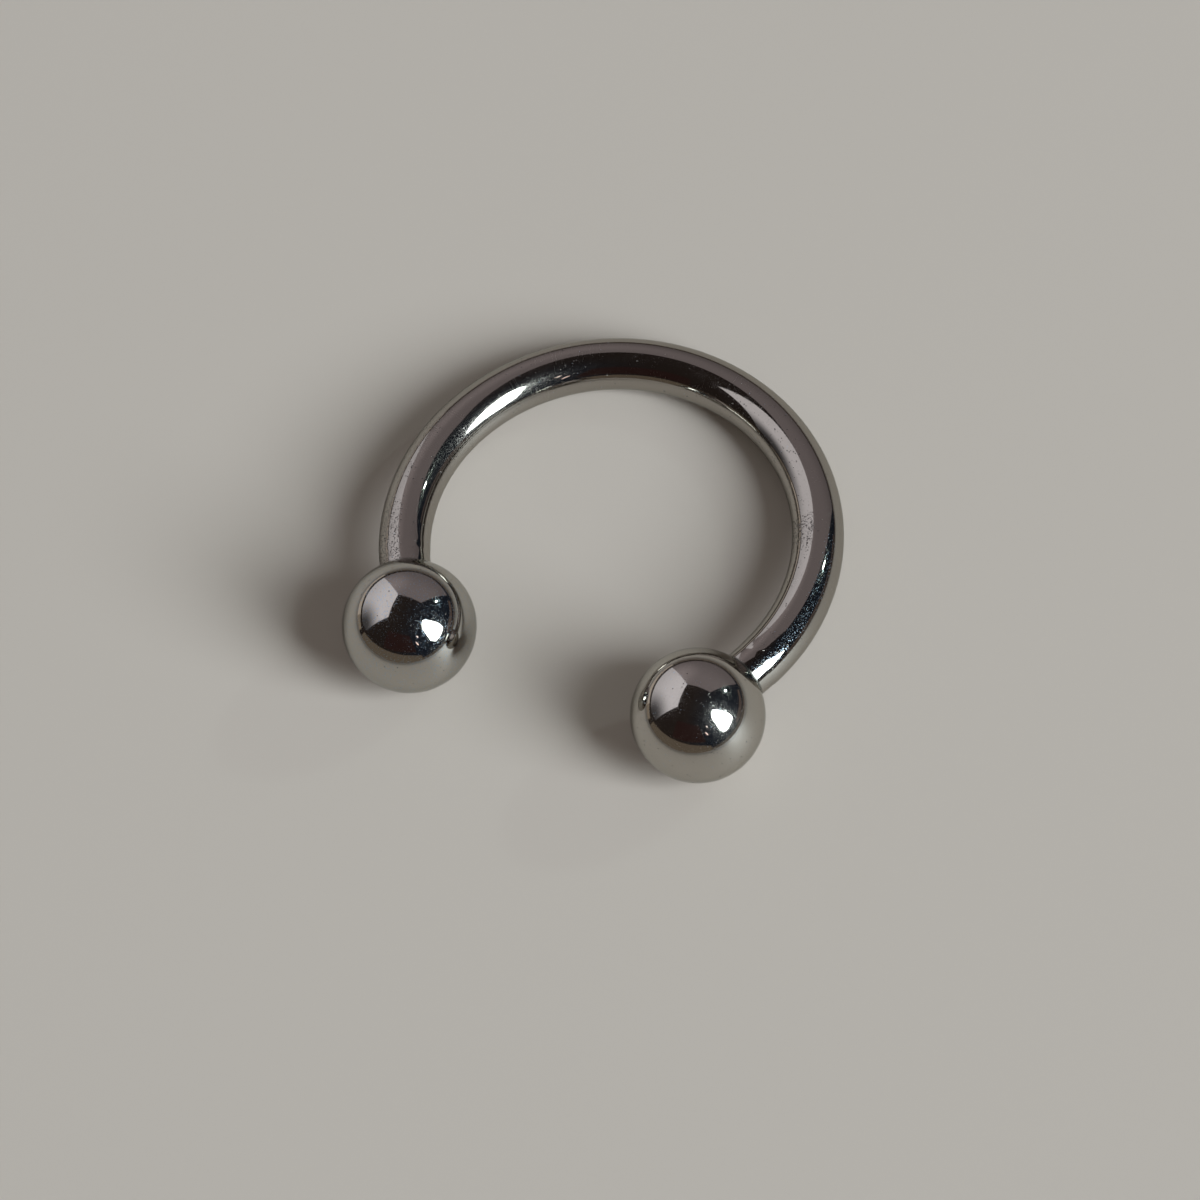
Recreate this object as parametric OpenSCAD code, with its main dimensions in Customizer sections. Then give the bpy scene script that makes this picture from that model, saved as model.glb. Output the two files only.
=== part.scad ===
// Horseshoe barbell: a round wire bent to a horseshoe, with a ball screwed on each end.
// It lies as it comes to rest by itself, on both balls and on the middle of its back.
// The balls are thicker than the wire, so the open side stands a little higher.
// All lengths are in millimetres. +X runs from ball to ball, and +Y towards the back.

/* [Wire] */
// Diameter of the polished wire
wire_d = 1.16; // [1.1:0.01:2]
// Inner diameter of the horseshoe
inner_d = 8.08; // [6:0.01:14]
// Clear opening between the two balls
opening = 3.88; // [1:0.01:5]
// Straight wire from the end of the bend to the shoulder under the ball
straight_len = 0.44; // [0.3:0.01:2]
// How much thinner the straight ends are turned than the bend, on the radius
end_relief = 0.01; // [0.005:0.005:0.02]

/* [Balls] */
// Diameter of each ball
ball_d = 3; // [2.7:0.1:5]
// Depth of the flat seat below the ball's skin
seat_depth = 0.25; // [0.15:0.01:0.4]
// Room around the straight end where it enters the seat
seat_clearance = 0.02; // [0.01:0.01:0.05]
// Gap between the shoulder and the seat when the ball is screwed home
seat_gap = 0.02; // [0.01:0.01:0.05]
// Bevel round the mouth of the tapped hole
hole_chamfer = 0.02; // [0.01:0.01:0.03]

/* [Thread] */
// Outer diameter of the thread on each end of the wire
thread_d = 0.9; // [0.7:0.05:0.95]
// Distance from one thread ridge to the next
thread_pitch = 0.225; // [0.15:0.025:0.3]
// Length of the threaded stub beyond the shoulder
thread_len = 1.7; // [1:0.05:2]
// Plain neck between the shoulder and the first ridge
neck_len = 0.1; // [0.05:0.01:0.2]
// Room around the thread in the ball's hole
thread_clearance = 0.03; // [0.01:0.01:0.05]
// Room beyond the tip of the stub in the ball's hole
tip_gap = 0.1; // [0.05:0.01:0.3]
// Point angle of the drill that makes the hole
drill_angle = 118; // [90:1:140]

/* [Edges] */
// Bevel on the shoulder and on the tip of the stub
edge_chamfer = 0.02; // [0.01:0.01:0.04]

/* [Hidden] */
LEFT = -1;
RIGHT = 1;
STEEL = [0.62, 0.60, 0.59];
$fn = 128;

wire_r = wire_d / 2;
ball_r = ball_d / 2;
crest_r = thread_d / 2;
end_r = wire_r - end_relief;
seat_r = end_r + seat_clearance;
hole_r = crest_r + thread_clearance;

// A standard 60 degree thread: the crest is an eighth of the pitch wide, and the root a quarter.
flank = thread_pitch * 5 / 16;
crest = thread_pitch / 8;
root_r = crest_r - flank * tan(60);
ridges = floor((thread_len - neck_len) / thread_pitch);

// Along each end of the wire, lengths are counted from the end of the bend.
shoulder_z = straight_len;
tip_z = shoulder_z + thread_len;
seat_z = shoulder_z + seat_gap;
ball_z = seat_z - seat_depth + ball_r;
hole_end_z = tip_z + tip_gap;
hole_point_z = hole_end_z + hole_r / tan(drill_angle / 2);

// The bend stops where a straight end still puts the ball's centre half the spacing off the
// middle: bend_r * sin(half_bend) + ball_z * cos(half_bend) = half_spacing.
bend_r = (inner_d + wire_d) / 2;
half_spacing = (opening + ball_d) / 2;
half_bend = 180 - atan2(ball_z, bend_r) - asin(half_spacing / norm([bend_r, ball_z]));

// How far a straight end reaches back inside the bend, which curves away from it by half the
// relief over this length.
end_root = sqrt(bend_r * end_relief);

// The horseshoe tips forward until the back of the wire and both balls touch one plane.
ball_back = ball_z * sin(half_bend) - bend_r * cos(half_bend);
rest_tilt = asin((ball_r - wire_r) / (bend_r + ball_back));
rest_z = bend_r * sin(rest_tilt) + wire_r;
rest_front = ball_back * cos(rest_tilt) + ball_r;
rest_rear = bend_r * cos(rest_tilt) + wire_r;

// Lays the flat horseshoe down at rest, with the origin under the middle of its outer box.
module at_rest() {
    translate([0, (rest_front - rest_rear) / 2, rest_z])
        rotate([-rest_tilt, 0, 0])
            children();
}

// Puts a piece that stands on Z at one end of the bend, with Z leaving along the wire.
module at_end(side) {
    rotate([0, 0, -side * half_bend])
        translate([0, bend_r, 0])
            rotate([0, side * 90, 0])
                children();
}

// One thread ridge, from its foot nearer the shoulder to its foot nearer the tip.
function ridge(foot_z) = [
    [root_r, foot_z],
    [crest_r, foot_z + flank],
    [crest_r, foot_z + flank + crest],
    [root_r, foot_z + 2 * flank + crest],
];

// Half section of a wire end: its root in the bend, the straight wire, the shoulder, and the stub
// with its ridges.
function end_section() = concat(
    [
        [0, -end_root],
        [end_r, -end_root],
        [end_r, shoulder_z - edge_chamfer],
        [end_r - edge_chamfer, shoulder_z],
        [root_r, shoulder_z],
    ],
    [for (i = [0 : ridges - 1]) each ridge(shoulder_z + neck_len + i * thread_pitch)],
    [
        [root_r, tip_z - edge_chamfer],
        [root_r - edge_chamfer, tip_z],
        [0, tip_z],
    ]
);

module wire_bend() {
    rotate_extrude(angle = 2 * half_bend, start = 90 - half_bend)
        translate([bend_r, 0])
            circle(r = wire_r);
}

module wire_end() {
    rotate_extrude()
        polygon(end_section());
}

// Space cut from the ball: the seat for the wire, and the blind hole for the stub.
module ball_hole() {
    rotate_extrude()
        polygon([
            [0, ball_z - ball_r - seat_depth],
            [seat_r, ball_z - ball_r - seat_depth],
            [seat_r, seat_z],
            [hole_r + hole_chamfer, seat_z],
            [hole_r, seat_z + hole_chamfer],
            [hole_r, hole_end_z],
            [0, hole_point_z],
        ]);
}

module screw_ball(side) {
    color(STEEL)
        at_rest()
            at_end(side)
                difference() {
                    translate([0, 0, ball_z])
                        sphere(r = ball_r);
                    ball_hole();
                }
}

module bar() {
    color(STEEL)
        at_rest()
            union() {
                wire_bend();
                for (side = [LEFT, RIGHT])
                    at_end(side)
                        wire_end();
            }
}

module left_ball() {
    screw_ball(LEFT);
}

module right_ball() {
    screw_ball(RIGHT);
}

bar();
left_ball();
right_ball();
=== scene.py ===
"""Looks of a horseshoe barbell: a polished steel wire bent to a horseshoe, with a ball on each end."""
import math

import bmesh
import bpy
from mathutils import Matrix, Vector


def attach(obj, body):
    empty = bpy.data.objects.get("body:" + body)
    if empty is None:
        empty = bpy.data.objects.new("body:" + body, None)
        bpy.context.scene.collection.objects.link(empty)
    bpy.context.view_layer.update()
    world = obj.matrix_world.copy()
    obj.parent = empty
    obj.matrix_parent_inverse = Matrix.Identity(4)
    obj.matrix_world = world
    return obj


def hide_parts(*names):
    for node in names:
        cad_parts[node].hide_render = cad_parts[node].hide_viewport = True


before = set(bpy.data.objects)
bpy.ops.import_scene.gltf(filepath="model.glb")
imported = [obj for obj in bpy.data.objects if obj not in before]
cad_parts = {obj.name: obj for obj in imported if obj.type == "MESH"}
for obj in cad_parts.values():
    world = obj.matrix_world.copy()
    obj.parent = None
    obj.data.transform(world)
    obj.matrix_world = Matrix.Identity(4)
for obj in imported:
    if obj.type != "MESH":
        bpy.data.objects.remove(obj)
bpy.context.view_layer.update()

MM = 0.001

# Sizes of the barbell in millimetres, the same as in the CAD part.
WIRE_D = 1.16
INNER_D = 8.08
OPENING = 3.88
STRAIGHT_LEN = 0.44
END_RELIEF = 0.01
BALL_D = 3.0
SEAT_DEPTH = 0.25
SEAT_CLEARANCE = 0.02
SEAT_GAP = 0.02
HOLE_CHAMFER = 0.02
THREAD_D = 0.9
THREAD_PITCH = 0.225
THREAD_LEN = 1.7
NECK_LEN = 0.1
THREAD_CLEARANCE = 0.03
TIP_GAP = 0.1
DRILL_ANGLE = 118
EDGE_ROUND = 0.02
MOUTH_ROUND = 0.008
TAPER_LEN = 0.25
THREAD_ANGLE = math.radians(60)

# The ball's own thread, which runs in the grooves of the wire's.
BALL_THREAD_MAJOR_R = 0.47
BALL_THREAD_MINOR_R = 0.36
BALL_THREAD_CREST = THREAD_PITCH / 4
BALL_THREAD_TURNS = 5

LEFT = -1
RIGHT = 1

WIRE_COLUMNS = 120
WIRE_STEP = 0.05
BALL_COLUMNS = 240
BALL_ROWS = 120
ROUND_STEPS = 4
SHARP_EDGE = math.radians(32)
MERGE_DISTANCE = 1e-4

wire_r = WIRE_D / 2
ball_r = BALL_D / 2
crest_r = THREAD_D / 2
end_r = wire_r - END_RELIEF
seat_r = end_r + SEAT_CLEARANCE
hole_r = crest_r + THREAD_CLEARANCE

# A standard thread: the crest is an eighth of the pitch wide, and the root a quarter.
flank = THREAD_PITCH * 5 / 16
crest = THREAD_PITCH / 8
root_r = crest_r - flank * math.tan(THREAD_ANGLE)

# Heights along each end of the wire, counted from the end of the bend.
shoulder_z = STRAIGHT_LEN
tip_z = shoulder_z + THREAD_LEN
seat_z = shoulder_z + SEAT_GAP
ball_z = seat_z - SEAT_DEPTH + ball_r
hole_end_z = tip_z + TIP_GAP
hole_point_z = hole_end_z + BALL_THREAD_MAJOR_R / math.tan(math.radians(DRILL_ANGLE / 2))
thread_start_z = shoulder_z + NECK_LEN
thread_turns = math.floor((THREAD_LEN - NECK_LEN) / THREAD_PITCH) - 1

# The bend, and how the horseshoe lies on both balls and on the middle of its back.
bend_r = (INNER_D + WIRE_D) / 2
half_spacing = (OPENING + BALL_D) / 2
half_bend = math.pi - math.atan2(ball_z, bend_r) - math.asin(half_spacing / math.hypot(bend_r, ball_z))
ball_back = ball_z * math.sin(half_bend) - bend_r * math.cos(half_bend)
rest_tilt = math.asin((ball_r - wire_r) / (bend_r + ball_back))
rest_z = bend_r * math.sin(rest_tilt) + wire_r
rest_y = (ball_back * math.cos(rest_tilt) + ball_r - bend_r * math.cos(rest_tilt) - wire_r) / 2
AT_REST = Matrix.Translation((0, rest_y, rest_z)) @ Matrix.Rotation(-rest_tilt, 4, "X")

# Where a ball's skin meets the wire, along the wire from the middle of the bend.
mouth_along = bend_r * half_bend + ball_z - math.sqrt(ball_r ** 2 - seat_r ** 2)

WIRE_PLACE = "wire_place"


def eased(share):
    """The same share from 0 to 1, with a soft start and a soft stop."""
    return share * share * (3 - 2 * share)


class Skin:
    """Collects rings of points in millimetres, and the faces between them, for one piece."""

    def __init__(self):
        self.mesh = bmesh.new()
        self.place = self.mesh.verts.layers.float_vector.new(WIRE_PLACE)

    def point(self, where, place):
        """One point, with its place along the straightened wire for the finish."""
        vertex = self.mesh.verts.new(Vector(where) * MM)
        vertex[self.place] = place
        return vertex

    def bridge(self, ring, following):
        """Closes the band between two rings with as many points each."""
        for i in range(len(ring)):
            j = (i + 1) % len(ring)
            self.mesh.faces.new((ring[i], ring[j], following[j], following[i]))

    def cone(self, ring, apex):
        """Closes a ring to one point."""
        for i in range(len(ring)):
            self.mesh.faces.new((ring[i], ring[(i + 1) % len(ring)], apex))

    def finish(self, name):
        """Makes the piece, smooth except at its real edges."""
        bmesh.ops.remove_doubles(self.mesh, verts=self.mesh.verts, dist=MERGE_DISTANCE * MM)
        bmesh.ops.recalc_face_normals(self.mesh, faces=self.mesh.faces)
        data = bpy.data.meshes.new(name)
        self.mesh.to_mesh(data)
        self.mesh.free()
        data.shade_smooth()
        data.set_sharp_from_angle(angle=SHARP_EDGE)
        piece = bpy.data.objects.new(name, data)
        bpy.context.scene.collection.objects.link(piece)
        return piece


class WireEnd:
    """One straight end of the wire, with Z leaving along it and a right-handed turn about it."""

    def __init__(self, side):
        self.side = side
        self.frame = (
            AT_REST
            @ Matrix.Rotation(-side * half_bend, 4, "Z")
            @ Matrix.Translation((0, bend_r, 0))
            @ Matrix.Rotation(side * math.pi / 2, 4, "Y")
            @ Matrix.Rotation(math.pi / 2, 4, "Z")
        )

    def point(self, skin, r, angle, z):
        """A point at that radius, angle and height on this end."""
        across, up = r * math.cos(angle), r * math.sin(angle)
        along = self.side * (bend_r * half_bend + z)
        return skin.point(self.frame @ Vector((across, up, z)), (along, across, self.side * up))

    def ring(self, skin, r, z, columns):
        """A ring round this end."""
        return [self.point(skin, r, 2 * math.pi * i / columns, z) for i in range(columns)]


def rounded(profile, radius):
    """The (r, z) profile with each inner corner rounded, by curves that start that far from it."""
    softened = [profile[0]]
    for before, corner, after in zip(profile, profile[1:], profile[2:]):
        corner = Vector(corner)
        back = Vector(before) - corner
        ahead = Vector(after) - corner
        start = corner + back.normalized() * min(radius, back.length / 2)
        stop = corner + ahead.normalized() * min(radius, ahead.length / 2)
        for k in range(ROUND_STEPS + 1):
            t = k / ROUND_STEPS
            softened.append(tuple(start * (1 - t) ** 2 + corner * 2 * t * (1 - t) + stop * t ** 2))
    softened.append(profile[-1])
    return softened


def turn_profile(skin, end, profile, columns):
    """Turns a profile about a wire end, and returns its first and last ring."""
    rings = [end.ring(skin, r, z, columns) for r, z in profile]
    for ring, following in zip(rings, rings[1:]):
        skin.bridge(ring, following)
    return rings[0], rings[-1]


def cut_thread(skin, end, foot_r, ridge, start_z, turns, columns):
    """Winds a ridge once for each turn, and returns the helix's first and last edge.

    ridge lists the (height above the foot line, radius) of each edge within one pitch. The ridge
    rises out of the foot over half a turn at the start, and sinks back into it at the end.
    """
    last = turns * columns
    run_out = columns / 2
    lines = []
    for p, (rise, r) in enumerate(ridge):
        reach = last + columns if p == 0 else last
        line = []
        for k in range(reach + 1):
            full = eased(max(0.0, min(1.0, k / run_out, (last - k) / run_out)))
            z = start_z + THREAD_PITCH * k / columns + rise
            line.append(end.point(skin, foot_r + (r - foot_r) * full, 2 * math.pi * k / columns, z))
        lines.append(line)
    for k in range(last):
        for p, line in enumerate(lines):
            if p + 1 < len(lines):
                corners = (line[k], line[k + 1], lines[p + 1][k + 1], lines[p + 1][k])
            else:
                corners = (line[k], line[k + 1], lines[0][k + 1 + columns], lines[0][k + columns])
            skin.mesh.faces.new(corners)
    return lines


def join_thread(skin, lines, before, after):
    """Closes the bands between a thread and the rings on both sides of it."""
    columns = len(before)
    foot = lines[0]
    last = len(foot) - 1 - columns
    for i in range(columns - 1):
        skin.mesh.faces.new((before[i], before[i + 1], foot[i + 1], foot[i]))
        following = after[(i + 2) % columns]
        skin.mesh.faces.new((foot[last + i + 1], foot[last + i + 2], following, after[i + 1]))
    start_step = [line[0] for line in lines]
    skin.mesh.faces.new((before[-1], before[0], *start_step, foot[columns], foot[columns - 1]))
    stop_step = [line[last] for line in reversed(lines[1:])]
    skin.mesh.faces.new((foot[last], foot[last + 1], after[1], after[0], foot[last + columns], *stop_step))


def bend_wire(skin):
    """The bend, from one wire end to the other, tapered into the slightly thinner ends."""
    half_len = bend_r * half_bend
    steps = math.ceil(2 * half_len / WIRE_STEP)
    rings = []
    for k in range(steps + 1):
        along = half_len * (2 * k / steps - 1)
        turn = along / bend_r
        taper = max(0.0, 1 - (half_len - abs(along)) / TAPER_LEN)
        r = wire_r - END_RELIEF * eased(taper)
        outward = Vector((math.sin(turn), math.cos(turn), 0))
        ring = []
        for i in range(WIRE_COLUMNS):
            angle = 2 * math.pi * i / WIRE_COLUMNS
            across, up = r * math.cos(angle), r * math.sin(angle)
            flat = outward * (bend_r + across) + Vector((0, 0, up))
            ring.append(skin.point(AT_REST @ flat, (along, across, up)))
        rings.append(ring)
    for ring, following in zip(rings, rings[1:]):
        skin.bridge(ring, following)


def thread_end(skin, side):
    """One end of the wire: the straight stretch, the shoulder, and the threaded stub."""
    end = WireEnd(side)
    straight = [(end_r, 0), (end_r, shoulder_z), (root_r, shoulder_z), (root_r, shoulder_z + NECK_LEN / 3)]
    first, neck = turn_profile(skin, end, rounded(straight, EDGE_ROUND), WIRE_COLUMNS)
    ridge = [(0, root_r), (flank, crest_r), (flank + crest, crest_r), (2 * flank + crest, root_r)]
    lines = cut_thread(skin, end, root_r, ridge, thread_start_z, thread_turns, WIRE_COLUMNS)
    run_z = thread_start_z + THREAD_PITCH * (thread_turns + 1)
    tip = [(root_r, (run_z + tip_z - EDGE_ROUND) / 2), (root_r, tip_z), (root_r / 2, tip_z)]
    after, rim = turn_profile(skin, end, rounded(tip, EDGE_ROUND / 2), WIRE_COLUMNS)
    join_thread(skin, lines, neck, after)
    skin.cone(rim, end.point(skin, 0, 0, tip_z))


# The left third of the real wire leans a little out of its plane. That shows only in what it mirrors,
# so its shading is turned by these degrees about X, Y and Z, fully beyond the second place along the
# wire and not at all before the first.
LEFT_LEAN = (-4.0, -1.5, -3.0)
LEAN_REACH = (-2.0, -5.5)


def lean_left(piece):
    """Turns the shading of the wire's left third."""
    turn = Vector(math.radians(v) for v in LEFT_LEAN)
    data = piece.data
    place = data.attributes[WIRE_PLACE].data
    normals = [Vector(corner.vector) for corner in data.corner_normals]
    start, stop = LEAN_REACH
    for loop in data.loops:
        share = (place[loop.vertex_index].vector.x - start) / (stop - start)
        if share > 0:
            share = eased(min(share, 1.0))
            normals[loop.index].rotate(Matrix.Rotation(turn.length * share, 3, turn))
    data.normals_split_custom_set(normals)


def make_bar():
    """The wire with both threaded ends, in one piece."""
    skin = Skin()
    bend_wire(skin)
    for side in (LEFT, RIGHT):
        thread_end(skin, side)
    bar = skin.finish("polished_bar")
    lean_left(bar)
    return bar


def make_ball(side, name):
    """A ball turned about its screw hole: the skin, the seat for the wire, and the tapped hole."""
    skin = Skin()
    end = WireEnd(side)
    mouth_turn = math.asin(seat_r / ball_r)
    skin_rows = [
        (
            ball_r * math.sin(math.pi - (math.pi - mouth_turn) * k / BALL_ROWS),
            ball_z - ball_r * math.cos(math.pi - (math.pi - mouth_turn) * k / BALL_ROWS),
        )
        for k in range(1, BALL_ROWS + 1)
    ]
    seat = [
        skin_rows[-2],
        skin_rows[-1],
        (seat_r, seat_z),
        (hole_r + HOLE_CHAMFER, seat_z),
        (BALL_THREAD_MAJOR_R, seat_z + HOLE_CHAMFER + hole_r - BALL_THREAD_MAJOR_R),
        (BALL_THREAD_MAJOR_R, thread_start_z),
    ]
    first, inlet = turn_profile(skin, end, skin_rows[:-2] + rounded(seat, MOUTH_ROUND), BALL_COLUMNS)
    skin.cone(first, end.point(skin, 0, 0, ball_z + ball_r))
    slope = (BALL_THREAD_MAJOR_R - BALL_THREAD_MINOR_R) / math.tan(THREAD_ANGLE)
    width = 2 * slope + BALL_THREAD_CREST
    groove_z = thread_start_z + flank + crest / 2 + THREAD_PITCH / 2
    ridge = [
        (0, BALL_THREAD_MAJOR_R),
        (slope, BALL_THREAD_MINOR_R),
        (slope + BALL_THREAD_CREST, BALL_THREAD_MINOR_R),
        (width, BALL_THREAD_MAJOR_R),
    ]
    start_z = groove_z - width / 2
    lines = cut_thread(skin, end, BALL_THREAD_MAJOR_R, ridge, start_z, BALL_THREAD_TURNS, BALL_COLUMNS)
    run_z = start_z + THREAD_PITCH * (BALL_THREAD_TURNS + 1)
    drilled = [(BALL_THREAD_MAJOR_R, (run_z + hole_end_z) / 2), (BALL_THREAD_MAJOR_R, hole_end_z)]
    after, rim = turn_profile(skin, end, drilled, BALL_COLUMNS)
    join_thread(skin, lines, inlet, after)
    skin.cone(rim, end.point(skin, 0, 0, hole_point_z))
    return skin.finish(name)


class Graph:
    """Adds nodes to a node tree and links them by the names of their sockets."""

    def __init__(self, tree):
        self.tree = tree
        tree.nodes.clear()

    def add(self, kind, inputs=None, **settings):
        """One node. An input is either a value or the socket that feeds it."""
        node = self.tree.nodes.new(kind)
        for key, value in settings.items():
            setattr(node, key, value)
        for key, value in (inputs or {}).items():
            if isinstance(value, bpy.types.NodeSocket):
                self.tree.links.new(value, node.inputs[key])
            else:
                node.inputs[key].default_value = value
        return node

    def math(self, operation, *values, clamp=False):
        """One sum, product or comparison."""
        node = self.add("ShaderNodeMath", dict(enumerate(values)), operation=operation, use_clamp=clamp)
        return node.outputs[0]

    def ramp(self, value, low, high, start=0.0, stop=1.0):
        """Rises smoothly from start to stop while value goes from low to high."""
        inputs = {0: value, 1: low, 2: high, 3: start, 4: stop}
        node = self.add("ShaderNodeMapRange", inputs, interpolation_type="SMOOTHSTEP")
        return node.outputs["Result"]

    def blend(self, share, first, second):
        """Mixes two colours."""
        node = self.add("ShaderNodeMix", {0: share, 6: first, 7: second}, data_type="RGBA")
        return node.outputs[2]


def colour(red, green, blue):
    """An opaque colour."""
    return (red, green, blue, 1.0)


# Finish of the steel. Coordinates are millimetres along and across the straightened wire.
BAR_TONE = colour(0.40, 0.375, 0.34)
BALL_TONE = colour(0.50, 0.475, 0.435)
EDGE_TONE = colour(0.72, 0.72, 0.70)
PIT_TONE = colour(0.12, 0.11, 0.105)
SPECK_TONE = colour(0.38, 0.47, 0.56)
# The joint's dark tone is painted shade where the wire goes into a ball.
JOINT_SHADE_TONE = colour(0.035, 0.038, 0.033)
MIRROR_ROUGHNESS = 0.03
HAZE_ROUGHNESS = 0.05
GRAIN_ROUGHNESS = 0.22
PIT_ROUGHNESS = 0.4
SCRATCH_ROUGHNESS = 0.12
JOINT_SHADE_ROUGHNESS = 0.4

# How steeply a pit's and a speck's tone rise from its rim: full from a third and a quarter of its depth.
PIT_RIM = 3.0
SPECK_RIM = 4.0

# Between which values of the soft noise the haze, the worn patches and the scratches fade in.
HAZE_FADE = (0.3, 0.7)
PATCH_FADE = (0.45, 0.65)
SCRATCH_FADE = (0.5, 0.65)
SCRATCH_BREAKS_PER_MM = 2.5

# The smallest pit against one of middle size, the depth of the shallowest, and how much deeper the
# deepest is.
PIT_SMALLEST = 0.5
PIT_SHALLOWEST = 0.3
PIT_DEPTH_SPREAD = 1.5

# The middle value of Blender's noise.
NOISE_MIDDLE = 0.5

FLOAT = "NodeSocketFloat"
VECTOR = "NodeSocketVector"


def group(name, inputs, output):
    """A shader node group with named inputs and one output. Returns its tree, graph and inputs."""
    tree = bpy.data.node_groups.new(name, "ShaderNodeTree")
    for socket, value in inputs.items():
        kind = VECTOR if value is None or isinstance(value, tuple) else FLOAT
        made = tree.interface.new_socket(name=socket, in_out="INPUT", socket_type=kind)
        if value is not None:
            made.default_value = value
    tree.interface.new_socket(name=output, in_out="OUTPUT", socket_type=FLOAT)
    graph = Graph(tree)
    return tree, graph, graph.add("NodeGroupInput").outputs


def make_haze_group():
    """Where the polish is hazy, from 0 to 1."""
    tree, graph, given = group("polish_haze", {"Place": None, "Patches per mm": 1.7}, "Haze")
    noise = graph.add(
        "ShaderNodeTexNoise",
        {"Vector": given["Place"], "Scale": given["Patches per mm"], "Detail": 3.0},
    )
    graph.add("NodeGroupOutput", {"Haze": graph.ramp(noise.outputs["Fac"], *HAZE_FADE)})
    return tree


def make_grains_group():
    """Grains far smaller than a pixel that the polish left rough, which give bright lights a halo."""
    tree, graph, given = group("rough_grains", {"Place": None, "Grains per mm": 150.0, "Share": 0.1}, "Grain")
    cells = graph.add("ShaderNodeTexVoronoi", {"Vector": given["Place"], "Scale": given["Grains per mm"]})
    lot = graph.add("ShaderNodeSeparateColor", {0: cells.outputs["Color"]}).outputs[0]
    graph.add("NodeGroupOutput", {"Grain": graph.math("LESS_THAN", lot, given["Share"])})
    return tree


def make_ripple_group():
    """Soft waves in the polish, closer together along the axes with more waves."""
    tree, graph, given = group("polish_ripple", {"Place": None, "Waves per mm": (1.0, 1.0, 1.0)}, "Height")
    stretched = graph.add("ShaderNodeMapping", {"Vector": given["Place"], "Scale": given["Waves per mm"]})
    noise = graph.add("ShaderNodeTexNoise", {"Vector": stretched.outputs[0], "Scale": 1.0, "Detail": 1.0})
    graph.add("NodeGroupOutput", {"Height": noise.outputs["Fac"]})
    return tree


def make_wear_group():
    """The share of places that hold a pit: more in some patches than elsewhere."""
    tree, graph, given = group(
        "worn_patches",
        {"Place": None, "Patches per mm": 1.0, "Share in patches": 0.5, "Share elsewhere": 0.05},
        "Share",
    )
    noise = graph.add(
        "ShaderNodeTexNoise",
        {"Vector": given["Place"], "Scale": given["Patches per mm"], "Detail": 2.0},
    )
    few, many = given["Share elsewhere"], given["Share in patches"]
    graph.add("NodeGroupOutput", {"Share": graph.ramp(noise.outputs["Fac"], *PATCH_FADE, few, many)})
    return tree


def make_pits_group():
    """Tiny pits of mixed size and depth, crooked where the polish tore."""
    tree, graph, given = group(
        "polish_pits",
        {"Place": None, "Pits per mm": 12.0, "Pit size": 0.3, "Crookedness": 0.02, "Share": 0.2},
        "Depth",
    )
    bends = graph.add(
        "ShaderNodeTexNoise",
        {"Vector": given["Place"], "Scale": given["Pits per mm"], "Detail": 0.0},
    )
    centred = graph.add(
        "ShaderNodeVectorMath", {0: bends.outputs["Color"], 1: (NOISE_MIDDLE,) * 3}, operation="SUBTRACT"
    )
    shifted = graph.add(
        "ShaderNodeVectorMath", {0: centred.outputs[0], "Scale": given["Crookedness"]}, operation="SCALE"
    )
    where = graph.add("ShaderNodeVectorMath", {0: given["Place"], 1: shifted.outputs[0]}, operation="ADD")
    cells = graph.add("ShaderNodeTexVoronoi", {"Vector": where.outputs[0], "Scale": given["Pits per mm"]})
    lot = graph.add("ShaderNodeSeparateColor", {0: cells.outputs["Color"]})
    drawn = graph.math("LESS_THAN", lot.outputs[0], given["Share"])
    size = graph.math("MULTIPLY", given["Pit size"], graph.math("ADD", lot.outputs[1], PIT_SMALLEST))
    inside = graph.math("SUBTRACT", 1.0, graph.math("DIVIDE", cells.outputs["Distance"], size), clamp=True)
    mostly_low = graph.math("POWER", lot.outputs[2], 2.0)
    deep = graph.math("MULTIPLY_ADD", mostly_low, PIT_DEPTH_SPREAD, PIT_SHALLOWEST)
    depth = graph.math("MULTIPLY", graph.math("MULTIPLY", inside, drawn), deep)
    graph.add("NodeGroupOutput", {"Depth": depth})
    return tree


def make_scratches_group():
    """Fine scratches: thin broken lines drawn out along one direction."""
    tree, graph, given = group(
        "fine_scratches",
        {
            "Place": None,
            "Stretch": (1.0, 1.0, 1.0),
            "Turn": (0.0, 0.0, 0.0),
            "Scale": 8.0,
            "Width": 0.02,
        },
        "Depth",
    )
    drawn = graph.add(
        "ShaderNodeMapping",
        {"Vector": given["Place"], "Rotation": given["Turn"], "Scale": given["Stretch"]},
    )
    noise = graph.add(
        "ShaderNodeTexNoise",
        {"Vector": drawn.outputs[0], "Scale": given["Scale"], "Detail": 1.0},
    )
    off = graph.math("ABSOLUTE", graph.math("SUBTRACT", noise.outputs["Fac"], NOISE_MIDDLE))
    line = graph.math("SUBTRACT", 1.0, graph.math("DIVIDE", off, given["Width"]), clamp=True)
    breaks = graph.add(
        "ShaderNodeTexNoise",
        {"Vector": given["Place"], "Scale": SCRATCH_BREAKS_PER_MM, "Detail": 0.0},
    )
    line = graph.math("MULTIPLY", line, graph.ramp(breaks.outputs["Fac"], *SCRATCH_FADE))
    graph.add("NodeGroupOutput", {"Depth": line})
    return tree


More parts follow.
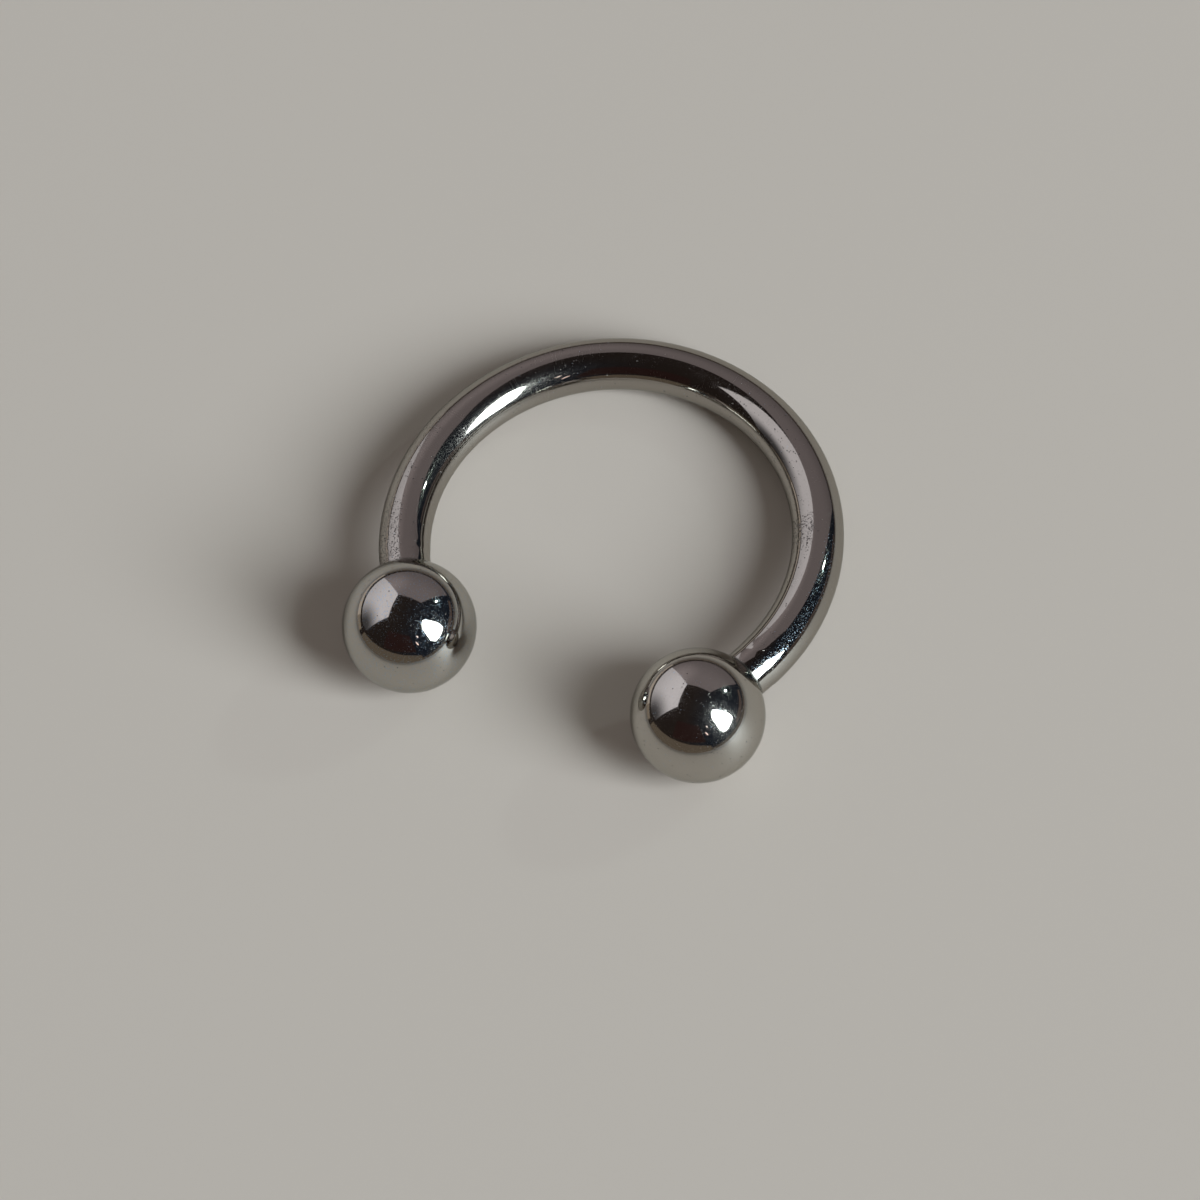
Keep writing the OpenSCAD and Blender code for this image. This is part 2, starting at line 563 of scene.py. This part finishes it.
def make_joint_shade_group():
    """Painted shade in the joint between the wire and a ball, from 0 to 1."""
    tree, graph, given = group("joint_painted_shade", {"Place": None, "On wire": 0.07, "On ball": 0.025}, "Painted shade")
    along = graph.add("ShaderNodeSeparateXYZ", {0: given["Place"]}).outputs[0]
    beyond = graph.math("SUBTRACT", graph.math("ABSOLUTE", along), mouth_along)
    before = graph.math("MULTIPLY", given["On wire"], -1.0)
    rising = graph.ramp(beyond, before, 0.0)
    falling = graph.ramp(beyond, 0.0, given["On ball"], 1.0, 0.0)
    graph.add("NodeGroupOutput", {"Painted shade": graph.math("MULTIPLY", rising, falling)})
    return tree


def worn_share(graph, share, place, worn):
    """Raises a share of marks on named stretches of the wire, all round it or on one side of it."""
    parts = graph.add("ShaderNodeSeparateXYZ", {0: place}).outputs
    along, across = parts["X"], parts["Y"]
    for stretch in worn.values():
        off = graph.math("ABSOLUTE", graph.math("SUBTRACT", along, stretch["middle"]))
        reach = stretch["reach"]
        most = graph.ramp(off, reach / 3, reach, stretch["share"], 0.0)
        for start, full in stretch.get("across", ()):
            most = graph.math("MULTIPLY", most, graph.ramp(across, start, full))
        share = graph.math("MAXIMUM", share, most)
    return share


def make_steel(name, effects, finish):
    """Polished steel with its own share of haze, ripples, scratches, tears, pits, specks and painted shade in
    the joints.
    """
    material = bpy.data.materials.new(name)
    material.use_nodes = True
    graph = Graph(material.node_tree)
    place = graph.add("ShaderNodeAttribute", attribute_name=WIRE_PLACE).outputs["Vector"]

    def effect(kind, **values):
        """What one shared effect puts out here."""
        inputs = {"Place": place, **{key.replace("_", " "): value for key, value in values.items()}}
        return graph.add("ShaderNodeGroup", inputs, node_tree=effects[kind]).outputs[0]

    def marks(kind):
        """How deep the steel is marked by one kind of pit."""
        share = worn_share(graph, effect("wear", **finish[kind]["wear"]), place, finish[kind]["worn"])
        return effect("pits", Share=share, **finish[kind]["shape"])

    haze = effect("haze")
    clear, hazy = finish["grains"]
    rough_share = graph.math("MULTIPLY_ADD", haze, hazy - clear, clear)
    grain = effect("grains", Share=worn_share(graph, rough_share, place, finish["dulled"]))
    ripple = effect("ripple", Waves_per_mm=finish["waves"])
    scratch = effect("scratches", **finish["scratches"])
    # Painted shade in the joint between the wire and a ball: how dark and rough it is there.
    joint_shade = effect("joint_shade")
    pit = graph.math("MAXIMUM", marks("tears"), marks("pits"))
    torn = graph.math("MULTIPLY", pit, PIT_RIM, clamp=True)
    speck = graph.math("MULTIPLY", marks("specks"), SPECK_RIM, clamp=True)

    roughness = graph.math("MULTIPLY_ADD", haze, HAZE_ROUGHNESS - MIRROR_ROUGHNESS, MIRROR_ROUGHNESS)
    for mark, added in (
        (grain, GRAIN_ROUGHNESS),
        (torn, PIT_ROUGHNESS),
        (speck, finish["speck_roughness"]),
        (scratch, SCRATCH_ROUGHNESS),
        (joint_shade, JOINT_SHADE_ROUGHNESS),
    ):
        roughness = graph.math("MULTIPLY_ADD", mark, added, roughness, clamp=True)
    tone = graph.blend(speck, finish["tone"], SPECK_TONE)
    tone = graph.blend(torn, tone, PIT_TONE)
    # Painted shade: the tone goes dark in the joint between the wire and a ball.
    tone = graph.blend(joint_shade, tone, JOINT_SHADE_TONE)

    normal = graph.add(
        "ShaderNodeBump", {"Height": ripple, "Strength": 1.0, "Distance": finish["ripple_depth"]}
    ).outputs[0]
    for mark, depth in ((scratch, "scratch_depth"), (pit, "pit_depth")):
        normal = graph.add(
            "ShaderNodeBump",
            {"Height": mark, "Strength": 1.0, "Distance": finish[depth], "Normal": normal},
            invert=True,
        ).outputs[0]
    shader = graph.add(
        "ShaderNodeBsdfPrincipled",
        {
            "Base Color": tone,
            "Metallic": 1.0,
            "Roughness": roughness,
            "Specular Tint": EDGE_TONE,
            "Normal": normal,
        },
    )
    graph.add("ShaderNodeOutputMaterial", {"Surface": shader.outputs[0]})
    return material


# Depths of the marks are in metres. The wire's ripples run round it, the ball's have no direction.
# A worn or dulled stretch has its middle along the wire, how far it reaches to each side, and its
# share of marks there. Each pair of "across" says where it starts and where it is in full across the
# wire, below 0 on its inner side. Grains are the shares that the polish left rough where it is clear
# and where it is hazy.
BAR_FINISH = {
    "tone": BAR_TONE,
    "tears": {
        "shape": {"Pits_per_mm": 27.0, "Pit_size": 0.5, "Crookedness": 0.05},
        "wear": {"Share_in_patches": 0.02, "Share_elsewhere": 0.0},
        "worn": {
            "right side": {"middle": 5.75, "reach": 0.6, "share": 0.9, "across": [(-0.04, -0.12)]},
        },
    },
    "pits": {
        "shape": {"Pits_per_mm": 34.0, "Pit_size": 0.5, "Crookedness": 0.01},
        "wear": {"Share_in_patches": 0.02, "Share_elsewhere": 0.004},
        "worn": {
            "left end": {"middle": -9.3, "reach": 1.7, "share": 0.85, "across": [(0.03, 0.1)]},
            "left side": {"middle": -7.0, "reach": 1.5, "share": 0.12, "across": [(-0.02, 0.05)]},
            "right side": {"middle": 4.6, "reach": 4.4, "share": 0.06, "across": [(-0.04, -0.12)]},
        },
    },
    "pit_depth": 4e-6,
    "specks": {
        "shape": {"Pits_per_mm": 36.0, "Pit_size": 0.37, "Crookedness": 0.01},
        "wear": {"Share_in_patches": 0.01, "Share_elsewhere": 0.0},
        "worn": {
            "right end": {"middle": 8.0, "reach": 2.6, "share": 0.9, "across": [(0.14, 0.24), (0.46, 0.38)]},
        },
    },
    "speck_roughness": 0.25,
    "grains": (0.03, 0.09),
    "dulled": {
        "left side": {"middle": -5.2, "reach": 4.4, "share": 0.2},
    },
    "scratches": {"Stretch": (1.0, 0.1, 0.1), "Scale": 12.0, "Width": 0.016},
    "scratch_depth": 3e-8,
    "waves": (16.0, 1.0, 1.0),
    "ripple_depth": 3e-7,
}
BALL_FINISH = {
    "tone": BALL_TONE,
    "tears": {
        "shape": {"Pits_per_mm": 14.0, "Pit_size": 0.3, "Crookedness": 0.03},
        "wear": {"Share_in_patches": 0.02, "Share_elsewhere": 0.004},
        "worn": {},
    },
    "pits": {
        "shape": {"Pits_per_mm": 30.0, "Pit_size": 0.4, "Crookedness": 0.01},
        "wear": {"Share_in_patches": 0.04, "Share_elsewhere": 0.006},
        "worn": {},
    },
    "pit_depth": 4e-6,
    "specks": {
        "shape": {"Pits_per_mm": 25.0, "Pit_size": 0.31, "Crookedness": 0.01},
        "wear": {"Share_in_patches": 0.06, "Share_elsewhere": 0.01},
        "worn": {
            "left ball": {"middle": -11.2, "reach": 4.5, "share": 1.0},
        },
    },
    "speck_roughness": 0.19,
    "grains": (0.025, 0.08),
    "dulled": {
        "right ball": {"middle": 11.2, "reach": 4.5, "share": 0.12},
    },
    "scratches": {"Stretch": (1.0, 0.2, 1.0), "Turn": (0.3, 0.5, 0.2), "Scale": 5.0, "Width": 0.003},
    "scratch_depth": 1e-8,
    "waves": (3.0, 3.0, 3.0),
    "ripple_depth": 2e-7,
}


# The studio: a pale floor, a soft key light, a small lamp, and a light tent that the steel mirrors.
# A direction is (azimuth from +X towards +Y, angle from straight up), in degrees.
KEY_DISTANCE = 1.3
TENT_DISTANCE = 2.0
KEY_STRENGTH = 12.4
KEY_TONE = (0.87, 0.98, 1.02)
FLOOR_R = 6.0
FLOOR_CORNERS = 72
FLOOR_ROUGHNESS = 0.55
FLOOR_TONE = colour(0.675, 0.59, 0.535)
BACKDROP_TONE = colour(0.44, 0.42, 0.385)
FILL_TONE = colour(0.141, 0.136, 0.122)
WARM_GLOOM = colour(0.024, 0.018, 0.016)
COOL_GLOOM = colour(0.012, 0.016, 0.025)
SMALL_LIGHT_CORNERS = 8

# How far to the right the gloom starts and ends turning cool, and between which heights a tent wall
# goes from its foot's brightness to its head's. Both are parts of a direction of length 1.
GLOOM_TURN = (-0.2, 0.7)
WALL_RISE = (0.1, 0.8)

# Painted shade: seen in the steel, the floor's tone is painted dimmer, and darker from this distance on, in
# metres.
FLOOR_FADE = (0.012, 0.055)
FLOOR_DIMMED = (0.95, 0.46)

KEY_CORNERS = [
    (-2, 33), (4.5, 41), (8.5, 57), (7, 68.5), (2, 71), (-10, 73), (-18, 73), (-24, 66), (-24, 57), (-22, 42),
    (-16, 36), (-8, 33.5),
]

# Each small light: where it is, how far it reaches from its middle across and along, how far its length
# is turned from straight down, its tone and strength, and whether it lights the floor.
SMALL_LIGHTS = {
    "lamp": {
        "at": (49, 56.7),
        "reach": (1.05, 1.05),
        "turn": 0,
        "tone": (0.80, 1.0, 0.97),
        "strength": 125,
        "on_floor": True,
    },
    "upper_gleam": {
        "at": (-43, 47),
        "reach": (0.8, 2.0),
        "turn": 20,
        "tone": (1.0, 0.84, 0.81),
        "strength": 3.6,
        "on_floor": False,
    },
    "lower_gleam": {
        "at": (-48.6, 58),
        "reach": (0.8, 4.0),
        "turn": 20,
        "tone": (1.0, 0.78, 0.74),
        "strength": 3.0,
        "on_floor": False,
    },
}

# Each panel of the tent: its corners, its tone, its brightness at its foot and head, and a patch on it:
# where, from which to which angle it fades out, and its brightness.
PANELS = {
    "left_wall": {
        "corners": [(131, 33.5), (212, 29), (212, 75), (200, 79), (180, 79), (160, 81), (137.5, 82.5)],
        "tone": (0.83, 0.81, 0.87),
        "foot_head": (0.84, 1.07),
        "patch": ((203, 76), 5, 38, 0.10),
    },
    "left_hem": {
        "corners": [(135, 87), (150, 86.5), (160, 85.5), (170, 84), (186, 82.5), (186, 91), (135, 91)],
        "tone": (0.58, 0.51, 0.45),
    },
    "corner_hem": {
        "corners": [(186, 82.5), (204, 84), (204, 91), (186, 91)],
        "tone": (0.30, 0.25, 0.20),
    },
    "back_wall": {
        "corners": [(55, 31), (131, 33.5), (137.5, 82.5), (110, 82.5), (85, 82.5), (57.5, 82.5)],
        "tone": (0.215, 0.188, 0.198),
        "foot_head": (0.80, 1.10),
        "patch": ((134, 62), 3, 32, 1.6),
    },
    "back_hem": {
        "corners": [(135, 87), (135, 91), (56, 91), (56, 86.5)],
        "tone": (0.15, 0.125, 0.105),
    },
    "right_hem": {
        "corners": [(56, 87.5), (56, 91), (-48, 91), (-48, 86)],
        "tone": (0.12, 0.10, 0.085),
    },
    "right_strip": {
        "corners": [(50, 79.5), (30, 78), (15, 76.5), (4, 79), (4, 83), (20, 83.5), (50, 83)],
        "tone": (0.12, 0.09, 0.08),
    },
    "front_hem": {
        "corners": [
            (211, 80.5), (224, 77.5), (240, 75), (270, 73.5), (300, 77), (312, 81), (312, 91), (211, 91),
        ],
        "tone": (0.15, 0.122, 0.094),
    },
    "front_cloth": {
        "corners": [(243, 42), (300, 42), (306, 72), (250, 71)],
        "tone": (0.030, 0.015, 0.014),
    },
}


def towards(azimuth, zenith, distance=1.0):
    """The point seen from the barbell in that direction."""
    a, z = math.radians(azimuth), math.radians(zenith)
    return Vector((math.sin(z) * math.cos(a), math.sin(z) * math.sin(a), math.cos(z))) * distance


def chord(angle):
    """How far apart two directions of length 1 are that stand at that angle, in degrees."""
    return 2 * math.sin(math.radians(angle / 2))


def glow(name, tone, strength):
    """An even light for a card."""
    material = bpy.data.materials.new(name)
    material.use_nodes = True
    graph = Graph(material.node_tree)
    shader = graph.add("ShaderNodeEmission", {"Color": colour(*tone), "Strength": strength})
    graph.add("ShaderNodeOutputMaterial", {"Surface": shader.outputs[0]})
    return material


def make_shade_group():
    """How bright a tent wall is in one direction: from its foot to its head, with a patch on it."""
    tree, graph, given = group(
        "wall_shade",
        {
            "Direction": None,
            "Foot": 0.8,
            "Head": 1.1,
            "Patch": (0.0, 0.0, 1.0),
            "Patch reach": 0.1,
            "Patch end": 0.5,
            "In patch": 1.0,
        },
        "Shade",
    )
    height = graph.add("ShaderNodeSeparateXYZ", {0: given["Direction"]}).outputs[2]
    shade = graph.ramp(height, *WALL_RISE, given["Foot"], given["Head"])
    away = graph.add(
        "ShaderNodeVectorMath", {0: given["Direction"], 1: given["Patch"]}, operation="DISTANCE"
    ).outputs["Value"]
    patch = graph.ramp(away, given["Patch reach"], given["Patch end"], given["In patch"], 1.0)
    graph.add("NodeGroupOutput", {"Shade": graph.math("MULTIPLY", shade, patch)})
    return tree


def shaded_glow(name, shade_group, tone, foot_head, patch):
    """A light that grows from foot to head, with a brighter or darker patch."""
    material = bpy.data.materials.new(name)
    material.use_nodes = True
    graph = Graph(material.node_tree)
    place = graph.add("ShaderNodeTexCoord").outputs["Object"]
    where, reach, end, brightness = patch
    shade = graph.add(
        "ShaderNodeGroup",
        {
            "Direction": graph.add("ShaderNodeVectorMath", {0: place}, operation="NORMALIZE").outputs[0],
            "Foot": foot_head[0],
            "Head": foot_head[1],
            "Patch": tuple(towards(*where)),
            "Patch reach": chord(reach),
            "Patch end": chord(end),
            "In patch": brightness,
        },
        node_tree=shade_group,
    ).outputs[0]
    lit = graph.add("ShaderNodeVectorMath", {0: tone, "Scale": shade}, operation="SCALE").outputs[0]
    shader = graph.add("ShaderNodeEmission", {"Color": lit, "Strength": 1.0})
    graph.add("ShaderNodeOutputMaterial", {"Surface": shader.outputs[0]})
    return material


def card(name, corners, material, lights_floor):
    """A light card that the steel mirrors, and that doesn't show to the camera."""
    data = bpy.data.meshes.new(name)
    data.from_pydata([tuple(c) for c in corners], [], [tuple(range(len(corners)))])
    data.materials.append(material)
    made = bpy.data.objects.new(name, data)
    made.visible_camera = False
    made.visible_diffuse = lights_floor
    made.visible_shadow = False
    bpy.context.scene.collection.objects.link(made)


def make_tent():
    """The key light, the small lights and the tent's panels."""
    key = [towards(azimuth, zenith, KEY_DISTANCE) for azimuth, zenith in KEY_CORNERS]
    card("key_softbox", key, glow("key_glow", KEY_TONE, KEY_STRENGTH), True)
    turns = [2 * math.pi * k / SMALL_LIGHT_CORNERS for k in range(SMALL_LIGHT_CORNERS)]
    for name, light in SMALL_LIGHTS.items():
        azimuth, zenith = light["at"]
        wide, long = light["reach"]
        turned = Matrix.Rotation(math.radians(light["turn"]), 2)
        rim = []
        for t in turns:
            down, across = turned @ Vector((long * math.sin(t), wide * math.cos(t)))
            across /= math.sin(math.radians(zenith))
            rim.append(towards(azimuth + across, zenith + down, KEY_DISTANCE))
        card(name, rim, glow(name + "_glow", light["tone"], light["strength"]), light["on_floor"])
    shade_group = make_shade_group()
    for name, panel in PANELS.items():
        corners = [towards(azimuth, zenith, TENT_DISTANCE) for azimuth, zenith in panel["corners"]]
        if "patch" in panel:
            material = shaded_glow(
                name + "_glow", shade_group, panel["tone"], panel["foot_head"], panel["patch"]
            )
        else:
            material = glow(name + "_glow", panel["tone"], 1.0)
        card(name, corners, material, False)


def make_floor():
    """A plain pale floor, with painted shade on it that only the steel sees."""
    data = bpy.data.meshes.new("pale_floor")
    turns = [2 * math.pi * k / FLOOR_CORNERS for k in range(FLOOR_CORNERS)]
    rim = [(FLOOR_R * math.cos(t), FLOOR_R * math.sin(t), 0) for t in turns]
    data.from_pydata(rim, [], [tuple(range(FLOOR_CORNERS))])
    floor = bpy.data.objects.new("pale_floor", data)
    bpy.context.scene.collection.objects.link(floor)
    material = bpy.data.materials.new("pale_paper")
    material.use_nodes = True
    graph = Graph(material.node_tree)
    place = graph.add("ShaderNodeNewGeometry").outputs["Position"]
    away = graph.add("ShaderNodeVectorMath", {0: place}, operation="LENGTH").outputs["Value"]
    # Painted shade on the floor, only for rays that the steel mirrors: dimmer, and darker farther out.
    dimmed = graph.math("SUBTRACT", 1.0, graph.ramp(away, *FLOOR_FADE, *FLOOR_DIMMED))
    mirrored = graph.add("ShaderNodeLightPath").outputs["Is Glossy Ray"]
    tone = graph.blend(graph.math("MULTIPLY", dimmed, mirrored), FLOOR_TONE, colour(0, 0, 0))
    shader = graph.add(
        "ShaderNodeBsdfPrincipled",
        {"Base Color": tone, "Roughness": FLOOR_ROUGHNESS, "Specular IOR Level": 0.5},
    )
    graph.add("ShaderNodeOutputMaterial", {"Surface": shader.outputs[0]})
    data.materials.append(material)


def make_surroundings():
    """Pale behind the floor, a warm fill on the floor, and gloom for the steel to mirror."""
    world = bpy.data.worlds.new("surroundings")
    world.use_nodes = True
    world.cycles.sampling_method = "NONE"
    bpy.context.scene.world = world
    graph = Graph(world.node_tree)
    direction = graph.add("ShaderNodeTexCoord").outputs["Generated"]
    rightwards = graph.add("ShaderNodeSeparateXYZ", {0: direction}).outputs[0]
    tone = graph.blend(graph.ramp(rightwards, *GLOOM_TURN), WARM_GLOOM, COOL_GLOOM)
    ray = graph.add("ShaderNodeLightPath").outputs
    tone = graph.blend(ray["Is Diffuse Ray"], tone, FILL_TONE)
    tone = graph.blend(ray["Is Camera Ray"], tone, BACKDROP_TONE)
    background = graph.add("ShaderNodeBackground", {"Color": tone, "Strength": 1.0})
    graph.add("ShaderNodeOutputWorld", {"Surface": background.outputs[0]})


# The camera, where the photo was taken from. Angles are in degrees, and lengths in millimetres.
CAMERA_AZIMUTH = 34.28
CAMERA_ELEVATION = 65.297
CAMERA_ROLL = -14.647
CAMERA_DISTANCE = 200
CAMERA_AIM = (0.2557, -1.476, 1.0)
CAMERA_LENS = 269.69
CAMERA_SENSOR = 36
CAMERA_NEAREST = 10
CAMERA_FARTHEST = 20000


def make_camera():
    """A camera that looks down at the barbell, rolled as the photo is."""
    azimuth, elevation, roll = (math.radians(v) for v in (CAMERA_AZIMUTH, CAMERA_ELEVATION, CAMERA_ROLL))
    level = math.cos(elevation)
    back = Vector((math.sin(azimuth) * level, -math.cos(azimuth) * level, math.sin(elevation)))
    right = Vector((math.cos(azimuth), math.sin(azimuth), 0))
    turned = Matrix((right, back.cross(right), back)).transposed().to_4x4() @ Matrix.Rotation(roll, 4, "Z")
    data = bpy.data.cameras.new("camera")
    data.lens = CAMERA_LENS
    data.sensor_width = CAMERA_SENSOR
    data.clip_start = CAMERA_NEAREST * MM
    data.clip_end = CAMERA_FARTHEST * MM
    camera = bpy.data.objects.new("camera", data)
    camera.matrix_world = Matrix.Translation((Vector(CAMERA_AIM) + back * CAMERA_DISTANCE) * MM) @ turned
    bpy.context.scene.collection.objects.link(camera)
    bpy.context.scene.camera = camera


make_camera()
bpy.context.scene.view_settings.view_transform = "Standard"
make_tent()
make_floor()
make_surroundings()
effects = {
    "haze": make_haze_group(),
    "grains": make_grains_group(),
    "ripple": make_ripple_group(),
    "wear": make_wear_group(),
    "pits": make_pits_group(),
    "scratches": make_scratches_group(),
    "joint_shade": make_joint_shade_group(),
}
bar_steel = make_steel("bar_steel", effects, BAR_FINISH)
ball_steel = make_steel("ball_steel", effects, BALL_FINISH)

bar = make_bar()
bar.data.materials.append(bar_steel)
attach(bar, "bar")
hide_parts("bar")

for side, node in ((LEFT, "left_ball"), (RIGHT, "right_ball")):
    ball = make_ball(side, "polished_" + node)
    ball.data.materials.append(ball_steel)
    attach(ball, node)
    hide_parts(node)
